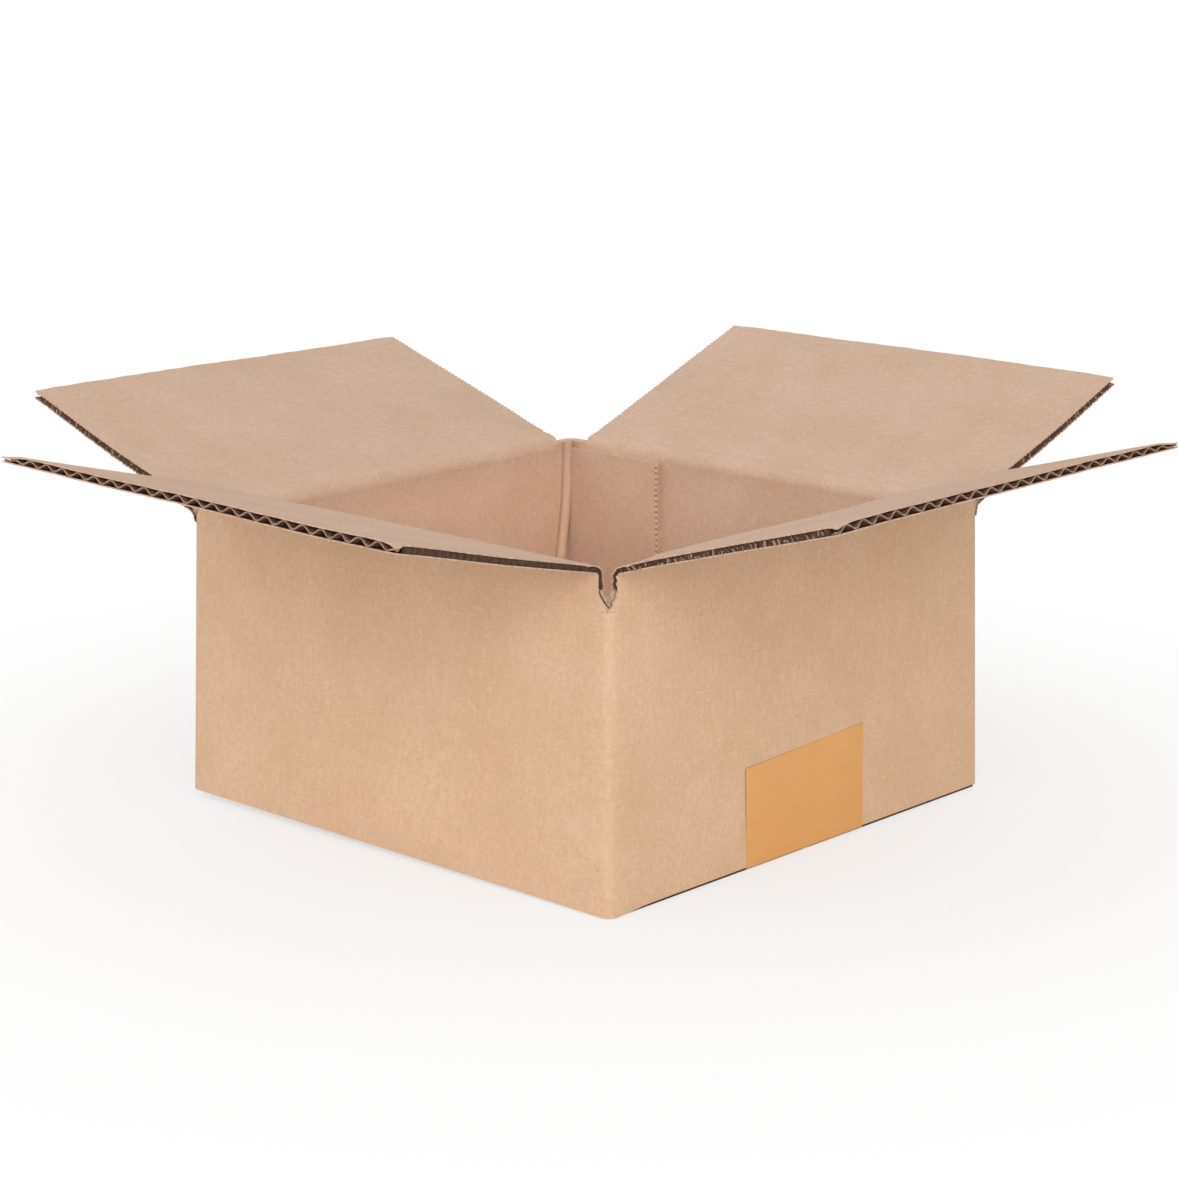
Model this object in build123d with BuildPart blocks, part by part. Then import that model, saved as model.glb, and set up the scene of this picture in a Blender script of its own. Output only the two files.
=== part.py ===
from build123d import *
import math
import os

# Sizes in millimetres and angles in degrees.
# The origin is the middle of the footprint on the ground, +Z is up, -Y is the front.

# Corrugated board
board = 3.0
liner = 0.4
medium = 0.35
flute_pitch = 6.35
flute_crest = 1.3

# Outside of the folded walls
box_length = 156.0
box_width = 156.0
score_height = 84.0
fold_radius = 3.0
inner_fold_radius = 0.6

# Flaps
front_flap_length = 69.4
right_flap_length = 70.6
back_flap_length = 74.5
left_flap_length = 75.4
bottom_flap_length = 77.8
crushed_root = 4.6
front_lift_angle = 14.6
right_lift_angle = 20.3
back_lift_angle = 15.1
left_lift_angle = 14.5

# Slots between neighbouring flaps, measured from the corner along each wall
slot_half = 3.4
slot_half_at_tip = 5.5
slot_overrun = 5.3
slot_point = 2.5

# Glued joint in the corner of the left and back walls
joint_slot_half = 9.0
joint_slot_half_at_tip = 5.8
joint_gap = 2.6
joint_fold_radius = 2.2
tab_width = 34.5
tab_thickness = 2.0
tab_clearance = 0.8

# Bottom folds
heel_height = 1.0
heel_radius = 0.9
layer_clearance = 0.2
hinge_clearance = 0.3
side_clearance = 0.2

# Closing tape
tape_width = 50.0
tape_thickness = 0.2
tape_rise = 28.7
tape_skew = 1.1
tape_bend = 1.2

# Levels worked out from the sizes above
match = 0.01
wall_x = box_length / 2
wall_y = box_width / 2
outer_score = score_height + (board + layer_clearance) / 2
inner_score = score_height - (board + layer_clearance) / 2
slot_end = score_height - slot_overrun
slot_shoulder = slot_end + slot_point
outer_floor = tape_thickness
inner_floor = outer_floor + board + layer_clearance
floor_top = inner_floor + board
heel_level = tape_thickness + heel_height
cut_margin = board


def wave_points(half_width, low, high):
    """One edge of the fluted layer: flat crests and flat valleys joined by straight flanks."""
    flank = flute_pitch / 2 - flute_crest
    points = []
    u = -half_width - flute_pitch / 3
    level = low
    while u < half_width + flute_pitch:
        points.append((u, level))
        points.append((u + flute_crest, level))
        u = u + flute_crest + flank
        level = high if level == low else low
    return points


def add_walls():
    """The ring of four walls, up to the shoulders of the slots."""
    with BuildSketch(Plane.XY.offset(heel_level)) as outline:
        RectangleRounded(box_length, box_width, fold_radius)
        RectangleRounded(
            box_length - 2 * board,
            box_width - 2 * board,
            inner_fold_radius,
            mode=Mode.SUBTRACT,
        )
    ring = extrude(outline.sketch, amount=slot_shoulder - heel_level)
    heel_edges = ring.faces().sort_by(Axis.Z)[0].outer_wire().edges()
    fillet(heel_edges, radius=heel_radius)


def add_wall_top(side_plane, half_a, half_b, outer_face, score):
    """The strip of one wall between its slots, bevelled inwards below the score."""
    rim = score - hinge_clearance
    reach = board + cut_margin
    with BuildSketch(side_plane.offset(-half_a)) as bevel:
        with BuildLine():
            Polyline(
                (outer_face, rim),
                (outer_face - reach, rim - reach),
                (outer_face - reach, rim + reach),
                (outer_face, rim + reach),
                close=True,
            )
        make_face()
    extrude(bevel.sketch, amount=half_a + half_b, mode=Mode.SUBTRACT)
    with BuildSketch(side_plane.offset(-half_a)) as strip:
        with BuildLine():
            Polyline(
                (outer_face, slot_end - board),
                (outer_face, rim),
                (outer_face - board, rim - board),
                (outer_face - board, slot_end - board),
                close=True,
            )
        make_face()
    extrude(strip.sketch, amount=half_a + half_b)


def cut_slot_point(side_x, side_y):
    """The pointed lower end of the slot in one corner."""
    outward = Vector(side_x, side_y, 0).normalized()
    across = Vector(-side_y, side_x, 0).normalized()
    corner = Plane(
        origin=(side_x * wall_x, side_y * wall_y, 0), x_dir=across, z_dir=outward
    )
    spread = slot_half / math.sqrt(2)
    with BuildSketch(corner) as point:
        with BuildLine():
            Polyline(
                (0, slot_end),
                (spread, slot_shoulder),
                (spread, slot_shoulder + cut_margin),
                (-spread, slot_shoulder + cut_margin),
                (-spread, slot_shoulder),
                close=True,
            )
        make_face()
    extrude(point.sketch, amount=3 * board, both=True, mode=Mode.SUBTRACT)


def cut_joint_slot():
    """The wide square slot over the glued joint."""
    reach = joint_slot_half + cut_margin
    depth = board + cut_margin
    with BuildSketch(Plane.XY.offset(slot_end)) as notch:
        with Locations((-wall_x - cut_margin, wall_y + cut_margin)):
            Rectangle(reach, depth, align=(Align.MIN, Align.MAX))
            Rectangle(depth, reach, align=(Align.MIN, Align.MAX))
    extrude(notch.sketch, amount=outer_score, mode=Mode.SUBTRACT)


def add_outer_bottom_flap(side):
    """The fold under the front (-1) or back (+1) wall, with its bottom flap."""
    tongue = wall_x - slot_half
    fold_top = outer_floor + 2 * board
    face = side * wall_y
    inside = side * (wall_y - board)
    run = side * (wall_y - 2 * board)
    with BuildSketch(Plane.XY.offset(heel_level)) as clearing:
        with Locations((0, side * (wall_y - board / 2 + cut_margin / 2))):
            Rectangle(2 * tongue, board + cut_margin)
    extrude(clearing.sketch, amount=fold_top - heel_level, mode=Mode.SUBTRACT)
    with BuildSketch(Plane.YZ.offset(-tongue)) as fold:
        with BuildLine():
            Polyline(
                (face, outer_floor),
                (face, fold_top),
                (inside, fold_top),
                (inside, outer_floor + board),
                (run, outer_floor + board),
                (run, outer_floor),
                close=True,
            )
        make_face()
        heel = [v for v in fold.vertices() if abs(v.Z - outer_floor) < match and abs(v.Y - face) < match]
        fillet(heel, radius=fold_radius)
    extrude(fold.sketch, amount=2 * tongue)
    with BuildSketch(Plane.XY.offset(outer_floor)) as flap:
        with BuildLine():
            Polyline(
                (-tongue, inside),
                (tongue, inside),
                (wall_x - slot_half_at_tip, side * (wall_y - bottom_flap_length)),
                (-wall_x + slot_half_at_tip, side * (wall_y - bottom_flap_length)),
                close=True,
            )
        make_face()
    extrude(flap.sketch, amount=board)


def add_inner_bottom_flap(side):
    """The bottom flap of the left (-1) or right (+1) wall, lying on the outer pair."""
    tongue = wall_y - slot_half
    inside = side * (wall_x - board / 2)
    with BuildSketch(Plane.XY.offset(inner_floor)) as flap:
        with BuildLine():
            Polyline(
                (inside, -tongue),
                (inside, tongue),
                (side * (wall_x - bottom_flap_length), wall_y - slot_half_at_tip),
                (side * (wall_x - bottom_flap_length), -wall_y + slot_half_at_tip),
                close=True,
            )
        make_face()
    extrude(flap.sketch, amount=board)


def open_joint_corner():
    """The raw end of the back wall stops short of the left wall's fold."""
    with BuildSketch(Plane.XY) as opening:
        with Locations((-wall_x + joint_gap, wall_y - board)):
            Rectangle(joint_gap + cut_margin, board + cut_margin, align=(Align.MAX, Align.MIN))
    extrude(opening.sketch, amount=outer_score, mode=Mode.SUBTRACT)


def add_glue_tab():
    """The tab folded from the left wall and glued inside the back wall."""
    low = floor_top + tab_clearance
    high = slot_end - tab_clearance
    with BuildSketch(Plane.XY.offset(low)) as tab:
        with Locations((-wall_x + board, wall_y - board)):
            Rectangle(tab_width, tab_thickness, align=(Align.MIN, Align.MAX))
        with Locations((-wall_x + board / 2, wall_y - board)):
            Rectangle(board, tab_thickness, align=(Align.MIN, Align.MAX))
    extrude(tab.sketch, amount=high - low)


with BuildPart() as box_body:
    add_walls()
    for corner_x, corner_y in ((1, -1), (1, 1), (-1, -1)):
        cut_slot_point(corner_x, corner_y)
    cut_joint_slot()
    front_side = Plane(origin=(0, 0, 0), x_dir=(0, -1, 0), z_dir=(-1, 0, 0))
    back_side = Plane(origin=(0, 0, 0), x_dir=(0, 1, 0), z_dir=(1, 0, 0))
    right_side = Plane(origin=(0, 0, 0), x_dir=(1, 0, 0), z_dir=(0, -1, 0))
    left_side = Plane(origin=(0, 0, 0), x_dir=(-1, 0, 0), z_dir=(0, 1, 0))
    long_half = wall_x - slot_half
    wide_half = wall_y - slot_half
    add_wall_top(front_side, long_half, long_half, wall_y, outer_score)
    add_wall_top(back_side, wall_x - joint_slot_half, long_half, wall_y, outer_score)
    add_wall_top(right_side, wide_half, wide_half, wall_x, inner_score)
    add_wall_top(left_side, wide_half, wall_y - joint_slot_half, wall_x, inner_score)
    for direction in (-1, 1):
        add_outer_bottom_flap(direction)
        add_inner_bottom_flap(direction)
    open_joint_corner()
    add_glue_tab()
    joint_edge = [
        edge
        for edge in box_body.edges().filter_by(Axis.Z)
        if abs(edge.center().X + wall_x) < match and abs(edge.center().Y - wall_y + board) < match
    ]
    fillet(joint_edge, radius=joint_fold_radius)


def make_top_flap(root, along, out, lift, length, ends, tips):
    """One top flap, lifted from level; ends and tips are its half widths at root and free edge."""
    angle = math.radians(lift)
    run = Vector(*out) * math.cos(angle) + Vector(0, 0, math.sin(angle))
    upward = Vector(*along).cross(run)
    sheet = Plane(origin=root, x_dir=along, z_dir=upward)
    fluted_start = sheet.from_local_coords((0, crushed_root, 0))
    root_end = sheet.from_local_coords((-ends[0], 0, 0))
    half_width = max(ends + tips)
    with BuildPart() as flap:
        with BuildSketch(Plane(origin=fluted_start, x_dir=along, z_dir=run * -1)):
            with Locations((0, liner / 2), (0, board - liner / 2)):
                Rectangle(2 * half_width, liner)
            with BuildLine():
                lower = wave_points(half_width, liner / 2, board - liner / 2 - medium)
                upper = wave_points(half_width, liner / 2 + medium, board - liner / 2)
                Polyline(*lower, *reversed(upper), close=True)
            make_face()
        extrude(amount=crushed_root - length)
        with BuildSketch(Plane(origin=root_end, x_dir=run, z_dir=Vector(*along) * -1)):
            with BuildLine():
                Polyline(
                    (hinge_clearance, 0),
                    (hinge_clearance + board, -board),
                    (crushed_root + liner, -board),
                    (crushed_root + liner, 0),
                    close=True,
                )
            make_face()
        extrude(amount=-(ends[0] + ends[1]))
        with BuildSketch(sheet.offset(-board)):
            with BuildLine():
                Polyline(
                    (-ends[0], 0),
                    (ends[1], 0),
                    (tips[1], length),
                    (-tips[0], length),
                    close=True,
                )
            make_face()
        extrude(amount=3 * board, mode=Mode.INTERSECT)
    return flap


plain_end = wall_x - slot_half - side_clearance
plain_tip = wall_x - slot_half_at_tip
joint_end = wall_x - joint_slot_half - side_clearance
joint_tip = wall_x - joint_slot_half_at_tip
plain_ends = (plain_end, plain_end)
plain_tips = (plain_tip, plain_tip)

top_flap_front = make_top_flap(
    (0, -wall_y, outer_score),
    (-1, 0, 0),
    (0, -1, 0),
    front_lift_angle,
    front_flap_length,
    plain_ends,
    plain_tips,
)
top_flap_right = make_top_flap(
    (wall_x, 0, inner_score),
    (0, -1, 0),
    (1, 0, 0),
    right_lift_angle,
    right_flap_length,
    plain_ends,
    plain_tips,
)
top_flap_back = make_top_flap(
    (0, wall_y, outer_score),
    (1, 0, 0),
    (0, 1, 0),
    back_lift_angle,
    back_flap_length,
    (joint_end, plain_end),
    (joint_tip, plain_tip),
)
top_flap_left = make_top_flap(
    (-wall_x, 0, inner_score),
    (0, 1, 0),
    (-1, 0, 0),
    left_lift_angle,
    left_flap_length,
    (plain_end, joint_end),
    (plain_tip, joint_tip),
)

with BuildPart() as sealing_tape:
    with BuildSketch(Plane.XZ.offset(-tape_width / 2)) as tape_edge:
        with BuildLine():
            path = Polyline(
                (-wall_x - tape_thickness, tape_rise + tape_skew),
                (-wall_x - tape_thickness, 0),
                (wall_x + tape_thickness, 0),
                (wall_x + tape_thickness, tape_rise + tape_skew),
            )
            fillet(path.vertices().sort_by(Axis.Y)[:2], radius=tape_bend)
            offset(amount=-tape_thickness, side=Side.LEFT)
        make_face()
    extrude(amount=tape_width)
    with BuildSketch(Plane.YZ.offset(-wall_x - board)):
        with BuildLine():
            Polyline(
                (-tape_width, tape_rise - 2 * tape_skew),
                (tape_width, tape_rise + 2 * tape_skew),
                (tape_width, tape_rise + tape_width),
                (-tape_width, tape_rise + tape_width),
                close=True,
            )
        make_face()
    extrude(amount=2 * (wall_x + board), mode=Mode.SUBTRACT)

os.makedirs("parts", exist_ok=True)
box_body.part.label = "box_body"
export_step(box_body.part, "parts/box_body.step")
top_flap_front.part.label = "top_flap_front"
export_step(top_flap_front.part, "parts/top_flap_front.step")
top_flap_right.part.label = "top_flap_right"
export_step(top_flap_right.part, "parts/top_flap_right.step")
top_flap_back.part.label = "top_flap_back"
export_step(top_flap_back.part, "parts/top_flap_back.step")
top_flap_left.part.label = "top_flap_left"
export_step(top_flap_left.part, "parts/top_flap_left.step")
sealing_tape.part.label = "sealing_tape"
export_step(sealing_tape.part, "parts/sealing_tape.step")
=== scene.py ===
import math
import random
from dataclasses import dataclass

import bpy
from mathutils import Matrix, Vector, noise

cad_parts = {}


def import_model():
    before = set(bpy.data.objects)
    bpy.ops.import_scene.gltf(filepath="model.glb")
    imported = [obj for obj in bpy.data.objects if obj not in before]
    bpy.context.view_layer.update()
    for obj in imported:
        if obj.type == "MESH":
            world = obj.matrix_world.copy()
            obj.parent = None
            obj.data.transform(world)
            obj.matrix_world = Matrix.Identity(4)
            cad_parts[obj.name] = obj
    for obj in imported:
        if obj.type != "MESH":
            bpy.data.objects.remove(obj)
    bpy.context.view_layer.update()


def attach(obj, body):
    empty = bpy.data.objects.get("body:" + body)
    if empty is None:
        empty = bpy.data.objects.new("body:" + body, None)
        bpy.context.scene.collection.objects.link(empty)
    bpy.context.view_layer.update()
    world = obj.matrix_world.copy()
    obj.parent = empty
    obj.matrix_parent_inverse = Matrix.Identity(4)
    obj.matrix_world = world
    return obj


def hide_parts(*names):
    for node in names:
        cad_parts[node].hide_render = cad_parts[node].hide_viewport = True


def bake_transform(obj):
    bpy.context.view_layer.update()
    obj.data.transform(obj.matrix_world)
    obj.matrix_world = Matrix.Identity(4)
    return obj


bl_info = {
    "name": "Corrugated Shipping Box",
    "version": (1, 0, 0),
    "blender": (4, 5, 0),
    "location": "View3D > Sidebar > Box",
    "description": "Builds a small open shipping box of single wall corrugated board",
    "category": "Add Mesh",
}

MM = 0.001

# Places and sizes of the folded board, in millimetres
WALL = 78.0  # from the middle of the box to the outside of a wall
WALL_INSIDE = 75.0  # from the middle of the box to the inside of a wall
CORNER = 3.0  # radius of a fold between two walls
SCORE = 84.0  # height of the walls' upper fold
OUTER_HINGE = 85.6  # height of the front and back flaps' joints
INNER_HINGE = 82.4  # height of the right and left flaps' joints

# How the real box stands a little off true, in millimetres
FOOT_OUT = 0.6  # a wall's foot stands outside its flat place
LEAN = 1.81  # a wall's top leans in from its foot
LEFT_LIFT = 1.95  # the bottom edges stand off the floor at the front left corner
BACK_LEFT_LIFT = 0.7  # and at the back left one
BACK_RIGHT_LIFT = 0.1  # and at the back right one

# Half widths of a top flap, in millimetres
TIP_HALF = 72.3  # at its tip
JOINT_TIP_HALF = 71.8  # at its tip, on the end beside the glued corner
SLOT_POINT_HALF = 77.12  # at the pointed lower end of a slot

# Along a top flap's outer face, in millimetres
SLOT_POINT = 0.7  # length of the widest part, at the slot's lower end
SLOT_TAPER = 3.9  # over which the flap narrows above it
ROW_STEP = 0.75  # from one row of points to the next, and the length of a tooth
ARC_STEPS = 7  # rows of points round the crease

CRUSHED_FLAT = 0.7  # thickness of board with all its flutes crushed, in millimetres

# The walls' upper edge beside the glued corner, in millimetres
JOINT_EDGE = 69.0  # from the middle of the box to where it steps up
JOINT_STEP = 0.02  # width of the step
JOINT_TOP = 80.3  # height of the corner

# A top flap's materials, in the order of its material slots
# The last of them is painted shade, for the dark gaps in the cut ends
FLAP_COATS = ("kraft outside", "kraft inside", "fluted core", "cut edge", "torn core", "slit painted shade")
OUTSIDE, INSIDE, CORE, CUT, TORN, PAINTED_SLIT_SHADE = range(len(FLAP_COATS))

# Columns and height of the glue tab, in millimetres: its columns lie closer at the cut edge
TAB_COLUMNS = [3.57 * k for k in range(11)] + [36.3, 36.7, 37.2]
TAB_ROWS = 82
TAB_LOW, TAB_HIGH = 7.2, 78.3

# The ridge in the glued corner, from its top down, in millimetres
RIDGE_ROUTE = (
    (-75.0, 71.9, 80.2), (-75.0, 71.9, 70.0), (-75.0, 71.7, 62.0),
    (-75.0, 71.0, 55.0), (-75.0, 70.0, 48.0), (-75.0, 69.3, 42.0),
    (-75.0, 68.8, 34.0), (-75.0, 68.6, 22.0), (-75.0, 68.6, 7.0),
)

# The closing tape, in millimetres
TAPE_WIDTH = 49.3
TAPE_EDGE = -25.0  # its front edge
TAPE_THICKNESS = 0.17
TAPE_RISE = 28.7  # how far up a wall it goes
TAPE_SKEW = 1.1  # how much higher its end is at one side
TAPE_BEND = 1.2  # radius round the wall's foot
TAPE_FACE = 78.13  # from the middle of the box to its outside

# The camera of the photograph
PHOTO_PIXELS = 1178.0  # width of the picture
FOCAL_PIXELS = 3232.0  # focal length
SENSOR = 36.0  # millimetres
CAMERA_ANGLES = (42.19, 13.51, 0.13)  # azimuth, elevation and roll, in degrees
CAMERA_TARGET = (0, 0, 0.05828)  # metres
CAMERA_SIDE = 0.00034  # metres to the right of straight behind the target
CAMERA_DISTANCE = 0.89681  # metres


@dataclass
class Flap:
    """How a top flap is folded and worn, in millimetres and degrees.

    A pair holds a value for each end: the first end lies towards minus along, the other towards
    plus along.
    """

    along: tuple  # direction of the score, as X and Y
    out: tuple  # direction away from the box, as X and Y
    crease: float  # height where the wall's plane and the open flap's outer face meet
    lift: float  # angle above level
    length: float  # from the crease to the tip
    twist: float  # how much higher the tip is at its far end
    thin: float  # how much thinner the flap is at its far end
    far: int  # the end that twists and thins most: 1 the other end, -1 the first end
    root: float  # thickness of the crushed board at the crease
    narrow: tuple  # half width just above the slot
    set_back: tuple  # depth of the strip of painted shade in the cut end
    teeth: tuple = (0.0, 0.0)  # height of the teeth along the cut end
    torn: tuple = (0.0, 0.0)  # how densely shreds stand on the cut end
    joint: tuple = (False, False)  # whether the end lies beside the glued corner
    crush: tuple = ()  # crushed corners: place along the score, share of the thickness, reach
    radius: float = 0.9  # radius of the crease

    @property
    def outer(self):
        """Whether the flap closes over the others, as the front and back ones do."""
        return self.out[0] == 0


FLAPS = {
    "front": Flap(
        along=(-1, 0), out=(0, -1), crease=87.4, lift=13.3, length=68.5, twist=1.7, thin=0.55,
        far=1, root=2.0, narrow=(74.1, 75.05), set_back=(0.4, 0.8),
        crush=((-72.3, 0.6, 2.2), (72.3, 0.5, 7.0)),
    ),
    "right": Flap(
        along=(0, -1), out=(1, 0), crease=87.4, lift=16.6, length=67.8, twist=-0.4, thin=0.6,
        far=-1, root=1.8, narrow=(75.05, 75.05), set_back=(0.4, 0.55),
        teeth=(0.0, 0.24), torn=(0.3, 0.9), crush=((72.3, 0.35, 2.4), (-72.3, 0.5, 7.0)),
    ),
    "back": Flap(
        along=(1, 0), out=(0, 1), crease=78.9, lift=19.9, length=76.3, twist=0.3, thin=0.3,
        far=1, root=3.2, narrow=(69.0, 75.05), set_back=(0.2, 0.5),
        teeth=(0.3, 0.15), torn=(0.0, 0.4), joint=(True, False),
    ),
    "left": Flap(
        along=(0, 1), out=(-1, 0), crease=78.9, lift=17.55, length=75.9, twist=1.2, thin=0.3,
        far=-1, root=3.2, narrow=(75.05, 69.0), set_back=(0.5, 0.2),
        teeth=(0.15, 0.3), torn=(0.4, 0.0), joint=(False, True),
    ),
}


class BoxSettings(bpy.types.PropertyGroup):
    """Sizes and colours of the board and the tape."""

    board: bpy.props.FloatProperty(
        name="Board", description="Thickness of the uncrushed board",
        default=0.003, unit="LENGTH", subtype="DISTANCE",
    )
    liner: bpy.props.FloatProperty(
        name="Liner", description="Thickness of a liner",
        default=0.00034, unit="LENGTH", subtype="DISTANCE",
    )
    medium: bpy.props.FloatProperty(
        name="Medium", description="Thickness of the fluted layer's paper",
        default=0.00048, unit="LENGTH", subtype="DISTANCE",
    )
    pitch: bpy.props.FloatProperty(
        name="Flute pitch", description="From one crest of the fluted layer to the next",
        default=0.00635, unit="LENGTH", subtype="DISTANCE",
    )
    slot_end: bpy.props.FloatProperty(
        name="Slot end", description="Height of the lower end of the slots",
        default=0.0780, unit="LENGTH", subtype="DISTANCE",
    )
    kraft: bpy.props.FloatVectorProperty(
        name="Kraft", description="Colour of the liner's outside",
        default=(0.668, 0.458, 0.303), size=3, subtype="COLOR",
    )
    inside: bpy.props.FloatVectorProperty(
        name="Inside", description="Colour of the liner's inside",
        default=(0.60, 0.424, 0.315), size=3, subtype="COLOR",
    )
    tape: bpy.props.FloatVectorProperty(
        name="Tape", description="Colour of the closing tape",
        default=(0.72, 0.37, 0.126), size=3, subtype="COLOR",
    )


class Field:
    """A shader socket that takes part in Python arithmetic."""

    def __init__(self, tree, socket):
        self.tree = tree
        self.socket = socket

    def maths(self, operation, *others):
        node = self.tree.nodes.new("ShaderNodeMath")
        node.operation = operation
        for slot, value in zip(node.inputs, (self,) + others):
            link(self.tree, slot, value)
        return Field(self.tree, node.outputs[0])

    def __add__(self, other):
        return self.maths("ADD", other)

    def __radd__(self, other):
        return self + other

    def __sub__(self, other):
        return self.maths("SUBTRACT", other)

    def __rsub__(self, other):
        return self * -1.0 + other

    def __mul__(self, other):
        return self.maths("MULTIPLY", other)

    def __truediv__(self, other):
        return self.maths("DIVIDE", other)

    def __pow__(self, other):
        return self.maths("POWER", other)

    def above(self, edge, softness):
        """0 below edge, 1 above edge + softness."""
        return ((self - edge) / softness).maths("MINIMUM", 1.0).maths("MAXIMUM", 0.0)


def link(tree, slot, value):
    """Sets a node's input to a number, a colour or another node's output."""
    if isinstance(value, Field):
        tree.links.new(value.socket, slot)
    elif isinstance(value, (tuple, list)) and slot.type == "RGBA" and len(value) == 3:
        slot.default_value = (*value, 1.0)
    else:
        slot.default_value = value


class Shader:
    """A material under construction."""

    def __init__(self, name):
        self.material = bpy.data.materials.new(name)
        self.material.use_nodes = True
        self.tree = self.material.node_tree
        self.tree.nodes.clear()
        self.surface = self.node("ShaderNodeBsdfPrincipled")
        self.output = self.node("ShaderNodeOutputMaterial")
        self.tree.links.new(self.surface.outputs[0], self.output.inputs[0])
        self.place = self.out(self.node("ShaderNodeTexCoord"), "Object")

    def node(self, kind, settings=None, inputs=None):
        """Adds one node with its settings and its inputs by name."""
        made = self.tree.nodes.new(kind)
        for key, value in (settings or {}).items():
            setattr(made, key, value)
        for key, value in (inputs or {}).items():
            link(self.tree, made.inputs[key], value)
        return made

    def out(self, node, name):
        return Field(self.tree, node.outputs[name])

    def axes(self):
        """Object coordinates apart, by the names X, Y and Z."""
        apart = self.node("ShaderNodeSeparateXYZ", {}, {"Vector": self.place})
        return {axis: self.out(apart, axis) for axis in "XYZ"}

    def stretched(self, x, y, z):
        """Object coordinates multiplied along each axis."""
        made = self.node(
            "ShaderNodeMapping", {"vector_type": "POINT"},
            {"Vector": self.place, "Scale": (x, y, z)},
        )
        return self.out(made, "Vector")

    def grain(self, scale, detail=4.0, rough=0.55, place=None):
        """Noise from 0 to 1, scale in features per metre."""
        made = self.node(
            "ShaderNodeTexNoise", {"noise_dimensions": "3D"},
            {"Vector": place or self.place, "Scale": scale, "Detail": detail, "Roughness": rough},
        )
        return self.out(made, "Fac")

    def mix(self, factor, a, b, blend="MIX"):
        made = self.node("ShaderNodeMix", {"data_type": "RGBA", "blend_type": blend})
        link(self.tree, made.inputs[0], factor)
        link(self.tree, made.inputs[6], a)
        link(self.tree, made.inputs[7], b)
        return Field(self.tree, made.outputs[2])

    def bump(self, height, strength, distance):
        made = self.node(
            "ShaderNodeBump", {}, {"Height": height, "Strength": strength, "Distance": distance}
        )
        return self.out(made, "Normal")

    def finish(self, **inputs):
        for name, value in inputs.items():
            link(self.tree, self.surface.inputs[name.replace("_", " ")], value)
        return self.material


def tinted(colour, r, g, b):
    return (colour[0] * r, colour[1] * g, colour[2] * b)


def kraft_material(name, colour, painted_fill_tints=None):
    """Kraft liner: cloudy tone, fine fibres, dark and light specks.

    The last argument's tints multiply the colour below the score, painted light that lifts the
    shaded inside: by the second tint on the back wall and by the first elsewhere.
    """
    shader = Shader(name)
    cloud = shader.grain(38.0, 5.0, 0.6)
    mottle = shader.grain(700.0, 3.0, 0.65)
    upright_fibre = shader.grain(900.0, 2.0, 0.5, shader.stretched(1.0, 1.0, 0.25))
    level_fibre = shader.grain(1100.0, 2.0, 0.5, shader.stretched(0.3, 0.3, 1.3))
    speck = shader.grain(1500.0, 0.0, 0.5)
    pale = shader.grain(1250.0, 1.0, 0.5, shader.stretched(1.1, 0.9, 1.0))
    base = shader.mix(
        cloud.above(0.35, 0.3), tinted(colour, 0.95, 0.93, 0.90), tinted(colour, 1.04, 1.05, 1.08)
    )
    for amount, r, g, b in (
        (mottle.above(0.42, 0.22) * 0.55, 0.90, 0.86, 0.80),
        ((upright_fibre * level_fibre).above(0.27, 0.12) * 0.45, 1.12, 1.14, 1.16),
        (pale.above(0.70, 0.05) * 0.5, 1.25, 1.35, 1.5),
        (speck.above(0.745, 0.03) * 0.25, 0.55, 0.45, 0.38),
    ):
        base = shader.mix(amount, base, tinted(colour, r, g, b))
    # Painted light: the shaded inside below the score is made lighter, less so on the back wall
    if painted_fill_tints:
        axes = shader.axes()
        back = axes["Y"].above(0.070, 0.003)
        painted_fill_zone = 1.0 - axes["Z"].above(0.070, 0.014)
        tint = shader.mix(back, *painted_fill_tints)
        base = shader.mix(painted_fill_zone, base, shader.mix(1.0, base, tint, "MULTIPLY"))
    height = mottle * 0.6 + upright_fibre * 0.5 + shader.grain(90.0, 2.0) * 1.5
    return shader.finish(
        Base_Color=base, Roughness=0.82 + (mottle - 0.5) * 0.15,
        Normal=shader.bump(height, 0.22, 0.0004), Specular_IOR_Level=0.25,
    )


def core_material(name, dark, light):
    """The fluted layer or its cut edges: rough paper between two shades."""
    shader = Shader(name)
    mottle = shader.grain(900.0, 3.0, 0.6)
    base = shader.mix(mottle.above(0.3, 0.4), dark, light)
    return shader.finish(
        Base_Color=base, Roughness=0.95, Normal=shader.bump(mottle, 0.4, 0.0003),
        Specular_IOR_Level=0.1,
    )


def tape_material(colour):
    """Paper tape: even tone, faint crepe lines across it and a low sheen."""
    shader = Shader("paper tape")
    crepe = shader.grain(420.0, 3.0, 0.6, shader.stretched(1.0, 0.25, 2.2))
    cloud = shader.grain(60.0, 3.0, 0.5)
    base = shader.mix(cloud, tinted(colour, 0.93, 0.92, 0.88), tinted(colour, 1.05, 1.05, 1.06))
    base = shader.mix(crepe.above(0.5, 0.2) * 0.5, base, tinted(colour, 0.93, 0.9, 0.84))
    return shader.finish(
        Base_Color=base, Roughness=0.45 + (crepe - 0.5) * 0.2,
        Normal=shader.bump(crepe, 0.25, 0.0002), Specular_IOR_Level=0.4,
    )


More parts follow.
